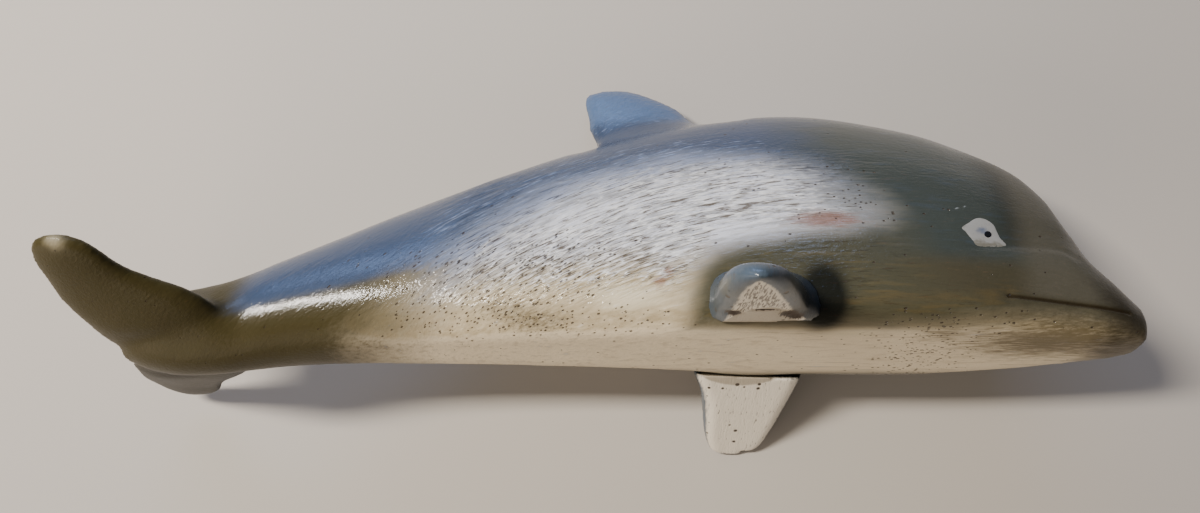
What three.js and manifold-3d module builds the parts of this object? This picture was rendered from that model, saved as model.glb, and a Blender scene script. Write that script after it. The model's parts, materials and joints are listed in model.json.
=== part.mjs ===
// A carved and painted wooden dolphin, lying on its left side as it comes to rest on a table.
// Millimetres, +Z up. The carving is shaped upright in its own frame, with +X towards the nose,
// +Y towards its left, +Z towards its back and the flat of the belly at z = 0, and then laid down.
import * as THREE from "three";
import { mergeVertices } from "three/addons/utils/BufferGeometryUtils.js";
import { LoftGeometry } from "three/addons/geometries/LoftGeometry.js";
import { ConvexHull } from "three/addons/math/ConvexHull.js";
import Module from "manifold-3d";

const wasm = await Module();
wasm.setup();

// Driving dimensions, in millimetres and degrees
const bodyLength = 340; // tip of the beak to the trailing edge of the flukes
const bodyHeight = 92; // flat of the belly to the top of the back
const bodyWidth = 58.5; // widest across the flanks
const edgeRounding = 5; // reach of the rounding at each edge of the flat belly
const dorsalRise = 17; // dorsal fin above the top of the back
const dorsalChord = 47; // along the back, at the foot of the fin
const dorsalThickness = 13;
const flukeSpan = 114.5; // tip to tip
const flukeChord = 37; // leading edge to trailing edge, beside the tail stock
const flukeThickness = 12;
const flukeTipRise = 10.7; // fluke tips above the notch between the flukes
const flukePitch = 8; // degrees, the leading edge above the trailing edge at the root
const leftFlipperLength = 50.3; // edge of the belly to the tip
const rightFlipperLength = 45.3; // the carver left this one shorter
const flipperChord = 39; // at the root
const flipperThickness = 17; // dome of the flipper beside the flank
const flipperEdge = 4.5; // rounding of the flipper's lower edges
const trailingFullness = 0.6; // of the dome towards its trailing edge: 1 is an ellipse, less is fuller
const leadingFullness = 0.85;
const flipperDroop = 12; // degrees below the flat of the belly
const jointGap = 0.3; // glue line between a flipper and the body
const mouthGroove = 0.7; // radius of the round groove between the jaws
const creaseDepth = 1.1; // valley between the melon of the forehead and the cheek
const restFlatDepth = 0.35; // worn off the points that the carving lies on
const bellyLift = 30; // degrees above level that the belly faces as the carving lies

// Places along the body, as percentages of its length from the flukes to the beak
const dorsalPlace = 47;
const flipperPlace = 57.3;
const mouthStart = 84.8;
const mouthEnd = 98;

// Heights above the flat of the belly, as shares of the body's height
const mouthHeight = 0.089;
const dorsalFootHeight = 0.83;
const flukeHeight = -0.011;
const widestHeight = 0.42; // of each section's own height

// How finely the surfaces are cut into faces
const bodySteps = 54;
const beakSteps = 4;
const backSteps = 9; // on each side, from the crease beside the melon up to the ridge
const cheekSteps = 5; // on each side, from the edge of the belly up to that crease
const finSides = 20;
const spanSteps = 14;
const grooveSides = 6;
const grooveSteps = 24;

// The body along its length. Each row gives a place, the ridge of the back and the underside as
// percentages of the height, and the half width and the half width of the flat belly as
// percentages of half the width.
const bodyRows = [
  [2.4, 3, -2.5, 16, 3],
  [3.3, 11, -4, 36, 5],
  [4.8, 17.5, -5.5, 48, 7],
  [7.5, 22.5, -7, 54, 9],
  [11.5, 26.5, -6.5, 55, 10],
  [18, 37.5, -2.8, 61, 16],
  [27.5, 54.5, -0.5, 73, 34],
  [37.5, 71.5, 0, 83.5, 45],
  [47.5, 86, 0, 92, 57],
  [58.5, 97, 0, 97.5, 75],
  [69, 100, 0, 100, 85],
  [79.5, 92.5, 0, 96.5, 85],
  [84.5, 85, 0, 89.5, 76],
  [89, 76.5, 0, 79, 61],
  [91.5, 67.5, 0, 72, 49],
  [93, 54, 0, 66, 44],
  [94.6, 39.5, 0, 57, 38],
  [96, 32, 0.3, 50, 35],
  [97.5, 26, 0.6, 41.5, 31],
  [99, 19.5, 1.1, 31, 20],
];
const beakTipHeight = 0.1; // as a share of the body's height

// The crease that runs from under the eye round the front of the melon. Each row gives a place,
// the crease's angle above the widest line in degrees, and its depth as a percentage.
const creaseRows = [
  [70, 0, 0],
  [80, -10, 0],
  [84, -8, 100],
  [90.5, 4, 100],
  [92.8, 17, 100],
  [94, 37, 90],
  [94.7, 50, 50],
  [96, 50, 0],
];

// The dorsal fin from inside the back to its top: height, rear edge, front edge and thickness, as
// percentages of the fin's own height, chord and thickness.
const dorsalRows = [
  [0, 1, 112, 170],
  [18, -1, 105, 130],
  [40, -4, 95, 100],
  [56, -5, 79, 88],
  [68, -6.5, 71, 78],
  [80, -8, 58, 66],
  [90, -7, 45, 50],
  [97, 0, 34, 30],
  [100, 15, 25, 12],
];

// A fluke from the middle of the tail to its tip: place along the half span, trailing edge and
// leading edge forward of the rearmost line, and thickness, as percentages.
const flukeRows = [
  [0, 23.5, 130, 55],
  [8, 21.5, 130, 58],
  [22, 12, 129, 78],
  [31, 9, 124, 92],
  [50, 0.5, 105, 74],
  [57, 0, 92, 66],
  [72, 0, 67, 56],
  [81, 0, 59.5, 55],
  [90.5, 3, 53, 48],
  [97, 10, 43, 38],
  [100, 22, 32, 12],
];

// The flippers from inside the body to the tip: place along the length, trailing edge, leading
// edge and height of the dome, as percentages. The right one has the narrower, rounder tip.
const flipperRows = {
  left: [
    [-25, -6, 108, 125],
    [0, -1, 98.5, 103],
    [21, 7.5, 94.5, 71],
    [41, 11, 90, 55],
    [57, 13.5, 86, 47],
    [73, 16, 81, 41],
    [86, 19.5, 77, 37],
    [93.5, 22.5, 72, 33],
    [98, 28, 63, 25],
    [100, 36, 54, 14],
  ],
  right: [
    [-25, -5, 110, 125],
    [0, 1, 92, 101],
    [10, 2, 80.5, 85],
    [24, 2.5, 74, 66],
    [39.5, 2.5, 68, 55],
    [57, 2.5, 60, 47],
    [70, 3, 54, 42],
    [81.5, 5, 47, 38],
    [89, 8, 41, 34],
    [95.5, 13, 34, 27],
    [100, 20, 27, 14],
  ],
};

// Reads one column of a list of rows at a place between them, by a smooth curve through the rows.
function readRows(rows, column, place) {
  const last = rows.length - 1;
  if (place <= rows[0][0]) return rows[0][column];
  if (place >= rows[last][0]) return rows[last][column];
  const i = rows.findIndex((row) => row[0] > place) - 1;
  const slope = (k) => {
    const before = rows[Math.max(k - 1, 0)];
    const after = rows[Math.min(k + 1, last)];
    return (after[column] - before[column]) / (after[0] - before[0]);
  };
  const span = rows[i + 1][0] - rows[i][0];
  const t = (place - rows[i][0]) / span;
  const start = rows[i][column] * (1 + 2 * t) + slope(i) * span * t;
  const end = rows[i + 1][column] * (3 - 2 * t) - slope(i + 1) * span * (1 - t);
  return start * (1 - t) ** 2 + end * t ** 2;
}

// Distance along the body, in millimetres, of a place given as a percentage of its length.
const along = (place) => (place / 100) * bodyLength;

// The sizes of the body's section at a place: an egg whose underside is cut flat. grow makes the
// whole section larger, for what has to clear the body.
function sectionSizes(place, grow = 0) {
  const ridge = (readRows(bodyRows, 1, place) / 100) * bodyHeight;
  const under = (readRows(bodyRows, 2, place) / 100) * bodyHeight;
  const half = (readRows(bodyRows, 3, place) / 200) * bodyWidth;
  const flat = (readRows(bodyRows, 4, place) / 200) * bodyWidth;
  const widest = under + widestHeight * (ridge - under);
  const lower = (widest - under) / Math.sqrt(1 - (flat / half) ** 2);
  return {
    half: half + grow,
    upper: ridge - widest + grow,
    lower: lower + grow,
    widest,
    edge: -Math.asin((widest - under + grow) / (lower + grow)),
  };
}

// Half the body's width at a place and a height.
function halfWidthAt(place, height) {
  const { half, upper, lower, widest } = sectionSizes(place);
  const rise = (height - widest) / (height > widest ? upper : lower);
  return half * Math.sqrt(1 - rise ** 2);
}

// One ring of points round the body, from the left edge of the belly over the back to its right
// edge. Each edge of the belly is rounded with three points.
function bodyRing(place, grow) {
  const { half, upper, lower, widest, edge } = sectionSizes(place, grow);
  const crease = THREE.MathUtils.degToRad(readRows(creaseRows, 1, place));
  const groove = (creaseDepth * readRows(creaseRows, 2, place)) / 100;
  const angles = [];
  for (let i = 0; i < cheekSteps; i++) angles.push(edge + ((crease - edge) * i) / cheekSteps);
  for (let i = 0; i <= backSteps; i++) angles.push(crease + ((Math.PI / 2 - crease) * i) / backSteps);
  const [corner, next, ...above] = angles.map((angle, i) => {
    const y = (half - (i === cheekSteps ? groove : 0)) * Math.cos(angle);
    return new THREE.Vector3(along(place), y, widest + (angle > 0 ? upper : lower) * Math.sin(angle));
  });
  const reach = Math.min(edgeRounding, 0.8 * corner.y, 0.8 * corner.distanceTo(next));
  const onBelly = corner.clone().setY(corner.y - reach);
  const onFlank = corner.clone().lerp(next, reach / corner.distanceTo(next));
  const rounded = onBelly.clone().lerp(onFlank, 0.5).lerp(corner, 0.5);
  const left = [onBelly, rounded, onFlank, next, ...above];
  const right = left.slice(0, -1).reverse().map(({ x, y, z }) => new THREE.Vector3(x, -y, z));
  return [...left, ...right];
}

// The body without its fins, from the end of the tail stock to the round tip of the beak.
function bodyShape(grow = 0) {
  const first = bodyRows[0][0];
  const last = bodyRows[bodyRows.length - 1][0];
  const rings = [];
  for (let i = 0; i <= bodySteps; i++) {
    rings.push(bodyRing(first + ((last - first) * i) / bodySteps, grow));
  }
  const beakEnd = rings[bodySteps];
  for (let i = 1; i < beakSteps; i++) {
    const turn = (i / beakSteps) * (Math.PI / 2);
    const x = along(last) + Math.sin(turn) * (along(100) - along(last));
    const tip = new THREE.Vector3(x, 0, beakTipHeight * bodyHeight);
    rings.push(beakEnd.map((point) => tip.clone().lerp(point, Math.cos(turn)).setX(x)));
  }
  return new LoftGeometry(rings, { capStart: true, capEnd: true });
}

// The dorsal fin, a stack of oval sections with its foot inside the back.
function dorsalShape() {
  const foot = dorsalFootHeight * bodyHeight;
  const height = bodyHeight + dorsalRise - foot;
  const rear = along(dorsalPlace);
  const rings = [];
  for (let i = 0; i <= spanSteps; i++) {
    const place = 100 * Math.sin((i / spanSteps) * (Math.PI / 2));
    const [back, front, thick] = [1, 2, 3].map((column) => readRows(dorsalRows, column, place) / 100);
    const middle = rear + (dorsalChord * (back + front)) / 2;
    const ring = [];
    for (let k = 0; k < finSides; k++) {
      const angle = (k / finSides) * 2 * Math.PI;
      const x = middle + ((dorsalChord * (front - back)) / 2) * Math.cos(angle);
      const y = ((dorsalThickness * thick) / 2) * Math.sin(angle);
      ring.push(new THREE.Vector3(x, y, foot + (height * place) / 100));
    }
    rings.push(ring);
  }
  return new LoftGeometry(rings, { capStart: true, capEnd: true });
}

// Both flukes in one, from the right tip to the left tip.
function flukeShape() {
  const halfSpan = flukeSpan / 2;
  const pitch = Math.tan(THREE.MathUtils.degToRad(flukePitch));
  const rings = [];
  for (let i = -spanSteps; i <= spanSteps; i++) {
    const share = Math.sin((i / spanSteps) * (Math.PI / 2));
    const out = Math.abs(share);
    const [back, front, thick] = [1, 2, 3].map((column) => readRows(flukeRows, column, 100 * out) / 100);
    const chord = flukeChord * (front - back);
    const trailing = flukeHeight * bodyHeight + flukeTipRise * out;
    const rise = pitch * (1 - out) * chord;
    const ring = [];
    for (let k = 0; k < finSides; k++) {
      const angle = (k / finSides) * 2 * Math.PI;
      const forward = (1 - Math.cos(angle)) / 2;
      const z = trailing + rise * forward + ((flukeThickness * thick) / 2) * Math.sin(angle);
      ring.push(new THREE.Vector3(flukeChord * back + chord * forward, halfSpan * share, z));
    }
    rings.push(ring);
  }
  return new LoftGeometry(rings, { capStart: true, capEnd: true });
}

// A flipper with a flat underside and a domed top, from inside the body out to its tip.
function flipperShape(side) {
  const rows = flipperRows[side];
  const length = side === "left" ? leftFlipperLength : rightFlipperLength;
  const sign = side === "left" ? 1 : -1;
  const droop = THREE.MathUtils.degToRad(flipperDroop);
  const trailingX = along(flipperPlace);
  const middlePlace = flipperPlace + (50 * flipperChord) / bodyLength;
  const rootY = (readRows(bodyRows, 4, middlePlace) / 200) * bodyWidth;
  const rings = [];
  for (let i = 0; i <= spanSteps; i++) {
    const share = Math.sin((i / spanSteps) * (Math.PI / 2));
    const place = rows[0][0] + (100 - rows[0][0]) * share;
    const [back, front, dome] = [1, 2, 3].map((column) => readRows(rows, column, place) / 100);
    const out = (length * place) / 100;
    const halfChord = (flipperChord * (front - back)) / 2;
    const height = flipperThickness * dome;
    const edge = Math.min(flipperEdge, height / 2, halfChord / 2);
    const outline = [];
    for (let k = 0; k <= finSides / 2; k++) {
      const angle = (k / finSides) * 2 * Math.PI;
      const fullness = angle < Math.PI / 2 ? trailingFullness : leadingFullness;
      const across = Math.sign(Math.cos(angle)) * Math.abs(Math.cos(angle)) ** fullness;
      outline.push([-halfChord * across, edge + (height - edge) * Math.sin(angle) ** fullness]);
    }
    const bend = edge * (1 - Math.SQRT1_2);
    outline.push([halfChord - bend, bend], [halfChord - edge, 0], [0, 0]);
    outline.push([edge - halfChord, 0], [bend - halfChord, bend]);
    const middle = trailingX + (flipperChord * (front + back)) / 2;
    const ring = outline.map(([x, z]) => {
      const y = sign * (rootY + out * Math.cos(droop) + z * Math.sin(droop));
      return new THREE.Vector3(middle + x, y, z * Math.cos(droop) - out * Math.sin(droop));
    });
    rings.push(sign > 0 ? ring : ring.reverse());
  }
  return new LoftGeometry(rings, { capStart: true, capEnd: true });
}

// The round bar that cuts the mouth line into one side of the head.
function mouthCutter(sign) {
  const height = mouthHeight * bodyHeight;
  const points = [];
  for (let i = 0; i <= grooveSteps; i++) {
    const place = mouthStart + ((mouthEnd - mouthStart) * i) / grooveSteps;
    points.push(new THREE.Vector3(along(place), sign * halfWidthAt(place, height), height));
  }
  const circle = new THREE.Shape().absarc(0, 0, mouthGroove, 0, 2 * Math.PI);
  return new THREE.ExtrudeGeometry(circle, {
    extrudePath: new THREE.CatmullRomCurve3(points),
    steps: grooveSteps,
    curveSegments: grooveSides,
    bevelEnabled: false,
  });
}

// A closed geometry as a solid that can be joined and cut.
function solidOf(geometry) {
  const bare = geometry.index ? geometry.toNonIndexed() : geometry.clone();
  bare.deleteAttribute("normal");
  bare.deleteAttribute("uv");
  const merged = mergeVertices(bare, 1e-4);
  const vertProperties = merged.attributes.position.array;
  return new wasm.Manifold(
    new wasm.Mesh({ numProp: 3, vertProperties, triVerts: new Uint32Array(merged.index.array) }),
  );
}

function geometryOf(solid) {
  const { vertProperties, triVerts } = solid.getMesh();
  const geometry = new THREE.BufferGeometry();
  geometry.setAttribute("position", new THREE.BufferAttribute(new Float32Array(vertProperties), 3));
  geometry.setIndex(new THREE.BufferAttribute(new Uint32Array(triVerts), 1));
  geometry.computeVertexNormals();
  return geometry;
}

// Centre of mass of several solids of one wood.
function massCentre(geometries) {
  const sum = new THREE.Vector3();
  const corners = [new THREE.Vector3(), new THREE.Vector3(), new THREE.Vector3()];
  let total = 0;
  for (const { index, attributes } of geometries) {
    for (let i = 0; i < index.count; i += 3) {
      corners.forEach((corner, k) => corner.fromBufferAttribute(attributes.position, index.getX(i + k)));
      const volume = corners[0].dot(corners[1].clone().cross(corners[2])) / 6;
      corners.forEach((corner) => sum.addScaledVector(corner, volume / 4));
      total += volume;
    }
  }
  return sum.divideScalar(total);
}

// How the carving comes to rest on its left side: of all the triangles that a table could touch,
// those under the centre of mass hold it, and it lies on the one nearest to its usual lean.
function restTurn(geometries) {
  const points = geometries.flatMap(({ attributes: { position } }) =>
    Array.from({ length: position.count }, (_, i) => new THREE.Vector3().fromBufferAttribute(position, i)),
  );
  const centre = massCentre(geometries);
  const lean = THREE.MathUtils.degToRad(bellyLift);
  const leftAndDown = new THREE.Vector3(0, Math.cos(lean), Math.sin(lean));
  let best = null;
  for (const face of new ConvexHull().setFromPoints(points).faces) {
    const edge = face.edge;
    const corners = [edge.tail().point, edge.head().point, edge.next.head().point];
    const triangle = new THREE.Triangle(...corners);
    const foot = centre.clone().addScaledVector(face.normal, -face.distanceToPoint(centre));
    const facing = face.normal.dot(leftAndDown);
    if (triangle.containsPoint(foot) && (!best || facing > best.facing)) {
      best = { facing, normal: face.normal.clone(), corners };
    }
  }
  const tip = new THREE.Quaternion().setFromUnitVectors(best.normal, new THREE.Vector3(0, 0, -1));
  const nose = new THREE.Vector3(1, 0, 0).applyQuaternion(tip);
  const level = new THREE.Quaternion().setFromAxisAngle(
    new THREE.Vector3(0, 0, 1),
    -Math.atan2(nose.y, nose.x),
  );
  const turn = new THREE.Matrix4().makeRotationFromQuaternion(level.multiply(tip));
  const floor = best.corners[0].clone().applyMatrix4(turn).z;
  return new THREE.Matrix4().makeTranslation(0, 0, -floor).multiply(turn);
}

// The three pieces, in the upright frame
const bodyOnly = solidOf(bodyShape());
let body = bodyOnly.add(solidOf(dorsalShape())).add(solidOf(flukeShape()));
for (const sign of [1, -1]) body = body.subtract(solidOf(mouthCutter(sign)));
const bodyWithGap = solidOf(bodyShape(jointGap));
const solids = {
  dolphin_body: body,
  left_flipper: solidOf(flipperShape("left")).subtract(bodyWithGap),
  right_flipper: solidOf(flipperShape("right")).subtract(bodyWithGap),
};

// Laid on its left side, each point that it lies on worn to a small flat
const laidDown = restTurn(Object.values(solids).map(geometryOf));
const slab = new THREE.BoxGeometry(4 * bodyLength, 4 * bodyLength, bodyLength);
slab.translate(0, 0, restFlatDepth - bodyLength / 2);
slab.applyMatrix4(laidDown.clone().invert());
const worn = solidOf(slab);

// Lacquered paint: silvery grey over the body, blue grey on top of the flippers
const paints = { dolphin_body: 0x8c8f8a, left_flipper: 0x66727a, right_flipper: 0x5f6d78 };
const dolphin = new THREE.Group();
for (const [name, solid] of Object.entries(solids)) {
  const paint = new THREE.MeshStandardMaterial({ color: paints[name], roughness: 0.28, metalness: 0 });
  const mesh = new THREE.Mesh(geometryOf(solid.subtract(worn)), paint);
  mesh.name = name;
  dolphin.add(mesh);
}
dolphin.applyMatrix4(laidDown);

// The origin is under the middle of the carving, on the table
const box = new THREE.Box3().setFromObject(dolphin, true);
const middle = box.getCenter(new THREE.Vector3());
dolphin.position.sub(new THREE.Vector3(middle.x, middle.y, box.min.z));

const carving = new THREE.Group();
carving.add(dolphin);
export default carving;
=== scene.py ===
# A carved wooden dolphin, painted by hand and lacquered, lying on its left side.
import json
import math

import bpy
import bmesh
import numpy as np
from mathutils import Euler, Matrix, Vector, noise
from mathutils.bvhtree import BVHTree

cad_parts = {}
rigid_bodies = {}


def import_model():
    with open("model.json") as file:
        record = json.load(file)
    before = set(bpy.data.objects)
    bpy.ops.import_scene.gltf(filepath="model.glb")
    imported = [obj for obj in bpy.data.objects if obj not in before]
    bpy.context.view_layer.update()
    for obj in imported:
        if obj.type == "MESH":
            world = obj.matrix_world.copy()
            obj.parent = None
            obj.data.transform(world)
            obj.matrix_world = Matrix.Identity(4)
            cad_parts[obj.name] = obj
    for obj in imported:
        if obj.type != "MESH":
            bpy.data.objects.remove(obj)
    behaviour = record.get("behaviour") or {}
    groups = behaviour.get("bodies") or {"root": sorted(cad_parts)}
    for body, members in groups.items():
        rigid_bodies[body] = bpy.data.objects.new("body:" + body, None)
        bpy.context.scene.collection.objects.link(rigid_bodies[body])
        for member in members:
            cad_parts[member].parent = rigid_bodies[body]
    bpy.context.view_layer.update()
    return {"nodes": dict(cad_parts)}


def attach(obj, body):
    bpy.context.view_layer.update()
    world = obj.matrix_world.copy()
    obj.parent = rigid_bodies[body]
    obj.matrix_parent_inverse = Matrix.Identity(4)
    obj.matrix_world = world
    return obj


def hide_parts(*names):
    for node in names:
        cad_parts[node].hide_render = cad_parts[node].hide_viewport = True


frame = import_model()
print("frame loaded")

# How the carving lies. Its own upright frame has +X to the beak, +Y to its left and +Z to its back,
# with the origin on the flat of the belly, under the rearmost point of the flukes.
lying = {
    "roll": -121.951,  # degrees about its length, from standing upright
    "noseDown": 0.693,  # degrees
    "origin": (-0.169558, -0.022775, 0.060534),
}
layTurn = Euler((math.radians(lying["roll"]), math.radians(lying["noseDown"]), 0))
layDown = Matrix.Translation(lying["origin"]) @ layTurn.to_matrix().to_4x4()
standUp = layDown.inverted()
mm = 0.001


def linearColour(hexText):
    channels = [int(hexText[i:i + 2], 16) / 255 for i in (1, 3, 5)]
    linear = [c / 12.92 if c <= 0.04045 else ((c + 0.055) / 1.055) ** 2.4 for c in channels]
    return (*linear, 1)


def addNode(tree, kind, inputs=None, **settings):
    # an input is another node's output, a colour as hex text, or a plain value
    node = tree.nodes.new(kind)
    for key, value in settings.items():
        setattr(node, key, value)
    for key, value in (inputs or {}).items():
        if isinstance(value, bpy.types.NodeSocket):
            tree.links.new(value, node.inputs[key])
        else:
            node.inputs[key].default_value = linearColour(value) if isinstance(value, str) else value
    return node


# Camera, in the upright frame: it looks straight down on the lying carving, so it sees the right
# flank from 30 degrees below
cameraView = {
    "position": (0.1621, -0.2807, -0.1260),
    "belowLevel": 30,
    "lens": 28.26,
}


def addCamera():
    data = bpy.data.cameras.new("camera")
    data.lens = cameraView["lens"]
    data.sensor_width = 36
    data.clip_start = 0.01
    camera = bpy.data.objects.new("camera", data)
    bpy.context.collection.objects.link(camera)
    lift = math.radians(90 + cameraView["belowLevel"])
    upright = Matrix.Translation(cameraView["position"]) @ Matrix.Rotation(lift, 4, "X")
    camera.matrix_world = layDown @ upright
    bpy.context.scene.camera = camera


# Studio: a long main light high on the tail side, a cool window behind the back, a wide warm fill
studio = {
    "lights": [
        # name, direction towards it, distance in m, width, height, watts, colour
        ("mainLight", (-0.53, 0.32, 0.79), 0.95, 0.32, 0.1, 14, "#FFF8F0"),
        ("window", (-0.15, 0.93, 0.42), 1.0, 0.9, 0.3, 5, "#A9C6FF"),
        ("fill", (-0.6, -0.7, 0.4), 1.5, 1.8, 1.0, 13.5, "#FFEFDF"),
    ],
    "aim": (0, 0, 0.05),
    "surround": "#C9CBD0",
    "surroundStrength": 0.1,
    "floorSize": 4,
    "floorColour": "#C2BBB0",
    "floorRoughness": 0.85,
    "floorGloss": 0.2,
}


def addStudio():
    aim = Vector(studio["aim"])
    for name, direction, distance, width, height, watts, colour in studio["lights"]:
        data = bpy.data.lights.new(name, "AREA")
        data.shape = "RECTANGLE"
        data.size = width
        data.size_y = height
        data.energy = watts
        data.color = linearColour(colour)[:3]
        light = bpy.data.objects.new(name, data)
        light.location = aim + Vector(direction).normalized() * distance
        back = Vector(direction).normalized()
        across = (Vector((1, 0, 0)) - back * back.x).normalized()  # the width runs along the carving
        light.rotation_euler = Matrix((across, back.cross(across), back)).transposed().to_euler()
        bpy.context.collection.objects.link(light)
    world = bpy.data.worlds.new("surround")
    world.use_nodes = True
    background = world.node_tree.nodes["Background"]
    background.inputs["Color"].default_value = linearColour(studio["surround"])
    background.inputs["Strength"].default_value = studio["surroundStrength"]
    bpy.context.scene.world = world
    half = studio["floorSize"] / 2
    mesh = bpy.data.meshes.new("floor")
    corners = [(-half, -half, 0), (half, -half, 0), (half, half, 0), (-half, half, 0)]
    mesh.from_pydata(corners, [], [(0, 1, 2, 3)])
    floor = bpy.data.objects.new("floor", mesh)
    bpy.context.collection.objects.link(floor)
    paper = bpy.data.materials.new("pale backing paper")  # matt and even, so it only takes the shadow
    paper.use_nodes = True
    surface = paper.node_tree.nodes["Principled BSDF"]
    surface.inputs["Base Color"].default_value = linearColour(studio["floorColour"])
    surface.inputs["Roughness"].default_value = studio["floorRoughness"]
    surface.inputs["Specular IOR Level"].default_value = studio["floorGloss"]
    mesh.materials.append(paper)


# Meshes as arrays: points in the upright frame, in millimetres
def uprightPoints(mesh):
    flat = np.empty(len(mesh.vertices) * 3)
    mesh.vertices.foreach_get("co", flat)
    turn = np.array(standUp)
    return (flat.reshape(-1, 3) @ turn[:3, :3].T + turn[:3, 3]) / mm


def setUprightPoints(mesh, points):
    turn = np.array(layDown)
    flat = (points * mm) @ turn[:3, :3].T + turn[:3, 3]
    mesh.vertices.foreach_set("co", flat.ravel())
    mesh.update()


def uprightNormals(mesh):
    flat = np.empty(len(mesh.vertices) * 3)
    mesh.vertex_normals.foreach_get("vector", flat)
    return flat.reshape(-1, 3) @ np.array(standUp)[:3, :3].T


def edgePairs(mesh):
    flat = np.empty(len(mesh.edges) * 2, dtype=np.int32)
    mesh.edges.foreach_get("vertices", flat)
    return flat.reshape(-1, 2)


def averaged(points, pairs, rounds):
    # each point moves halfway to the middle of its neighbours, several times
    first, second = pairs.T
    count = len(points)
    neighbours = np.bincount(first, minlength=count) + np.bincount(second, minlength=count)
    moved = points.copy()
    for _ in range(rounds):
        total = np.empty_like(moved)
        for axis in range(3):
            total[:, axis] = np.bincount(first, moved[second, axis], count)
            total[:, axis] += np.bincount(second, moved[first, axis], count)
        moved += 0.5 * (total / neighbours[:, None] - moved)
    return moved


def eased(points, pairs, rounds, most, share=1.0):
    # smoothing that moves no point further than most, in mm
    shift = averaged(points, pairs, rounds) - points
    length = np.linalg.norm(shift, axis=1, keepdims=True)
    shift *= np.minimum(1, most / np.maximum(length, 1e-9))
    return points + shift * np.reshape(share, (-1, 1))


def smoothStep(low, high, value):
    share = np.clip((value - low) / (high - low), 0, 1)
    return share * share * (3 - 2 * share)


def between(value, start, full, last, end):
    # rises to 1 from start to full, and falls again from last to end
    return smoothStep(start, full, value) * smoothStep(end, last, value)


def bump(value, middle, width):
    return np.exp(-(((value - middle) / width) ** 2))


def sampleNoise(points):
    return np.array([noise.noise(Vector(point)) for point in points])


def addMask(mesh, name, values):
    layer = mesh.attributes.new(name, "FLOAT", "POINT")
    layer.data.foreach_set("value", np.asarray(values, dtype=np.float32))


def remeshedCopy(nodeName, pieceName, voxel):
    node = frame["nodes"][nodeName]
    piece = bpy.data.objects.new(pieceName, node.data.copy())
    piece.data.name = pieceName
    piece.data.materials.clear()
    bpy.context.collection.objects.link(piece)
    remesh = piece.modifiers.new("even faces", "REMESH")
    remesh.mode = "VOXEL"
    remesh.voxel_size = voxel * mm
    remesh.use_smooth_shade = True
    bpy.context.view_layer.update()
    even = bpy.data.meshes.new_from_object(piece.evaluated_get(bpy.context.evaluated_depsgraph_get()))
    piece.modifiers.clear()
    piece.data = even
    return piece


def refine(mesh, wanted):
    # splits the edges whose ends are both wanted, and their faces. wanted is given the upright points.
    chosen = wanted(uprightPoints(mesh))
    work = bmesh.new()
    work.from_mesh(mesh)
    edges = [edge for edge in work.edges if all(chosen[vert.index] for vert in edge.verts)]
    bmesh.ops.subdivide_edges(work, edges=edges, cuts=1, use_grid_fill=True)
    work.to_mesh(mesh)
    work.free()
    mesh.shade_smooth()


def finishPiece(piece, material, slot, *nodes):
    piece.data.materials.append(material)
    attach(piece, "root")
    if nodes:
        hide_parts(*nodes)


# Body, in millimetres in the upright frame
body = {
    "voxel": 1.22,
    # smoothing as rounds and the most a point may move: of the solid's facets, of the roots of the
    # flukes and the edges of the belly, of the fin's foot, and of the split faces
    "easeFacets": (16, 0.25),
    "easeRoots": (110, 3),
    "easeFoot": (160, 6),
    "easeSplits": (2, 0.1),
    # where the foot of the dorsal fin meets the back: place, height
    "finFoot": [(148, 76), (158, 78.5), (172, 83), (190, 87), (206, 90), (216, 91)],
    "finFootWidth": 7,
    "flukeRootAlong": (22, 32, 46, 56),
    "flukeRootSide": 15,
    "flukeRootWidth": 7,
    "flankStrokes": {"along": (104, 126, 222, 262), "low": 5, "raised": 20, "high": 66, "depth": 0.26},
    "strokeSize": (15, 9, 1.9),
    "strokeRise": 0.0026,  # the strokes sweep up from the tail and level out over the flipper
    "strokeLevelPlace": 240,
    "toolMarkDepth": 0.09,  # long shallow facets that the knife left under the paint
    "toolMarkSize": (34, 11, 9),
    "mouth": [(288, 8.3), (300, 8.2), (312, 8.2), (322, 8.2), (331, 8.2)],
    "mouthDepth": 0.55,
    "mouthWidth": 0.45,
    "mouthFades": (336, 330),  # towards the tip of the beak
    "dimpleDepth": 0.4,  # at the corner of the mouth
    "dimpleWidth": 1.8,
    # two slanting nicks above the near eye
    "nicks": [(276.2, 38), (279, 39)],
    "nickLength": 2.2,
    "nickWidth": 0.4,
    "nickSlant": 0.4,
    "nickDepth": 0.1,
    # fold between the melon of the forehead and the cheek
    "crease": [(252, 21.5), (265, 23.1), (278, 24.3), (292, 26), (302, 26.4), (309, 26.6), (316, 24)],
    "creaseAlong": (264, 286, 312, 320),
    "creaseDepth": 0.4,
    "creaseWidth": 1.1,
    "cheekLip": 0.2,
    "lipBelow": 3.4,  # middle of the lip, below the crease
    "lipWidth": 2.6,
}


def strokeHeight(x, z):
    # height across the sweep of the brush strokes on the flank
    return z + body["strokeRise"] * np.maximum(body["strokeLevelPlace"] - x, 0) ** 2


def lineDistance(x, z, line):
    best = np.full(len(x), 1e9)
    for (x0, z0), (x1, z1) in zip(line, line[1:]):
        along = ((x - x0) * (x1 - x0) + (z - z0) * (z1 - z0)) / ((x1 - x0) ** 2 + (z1 - z0) ** 2)
        along = np.clip(along, 0, 1)
        gap = np.hypot(x - x0 - along * (x1 - x0), z - z0 - along * (z1 - z0))
        best = np.minimum(best, gap)
    return best


def aboveLine(x, z, line):
    # distance from a line across the flank, positive above it
    side = np.sign(z - np.interp(x, *zip(*line)))
    return side * lineDistance(x, z, line)


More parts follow.
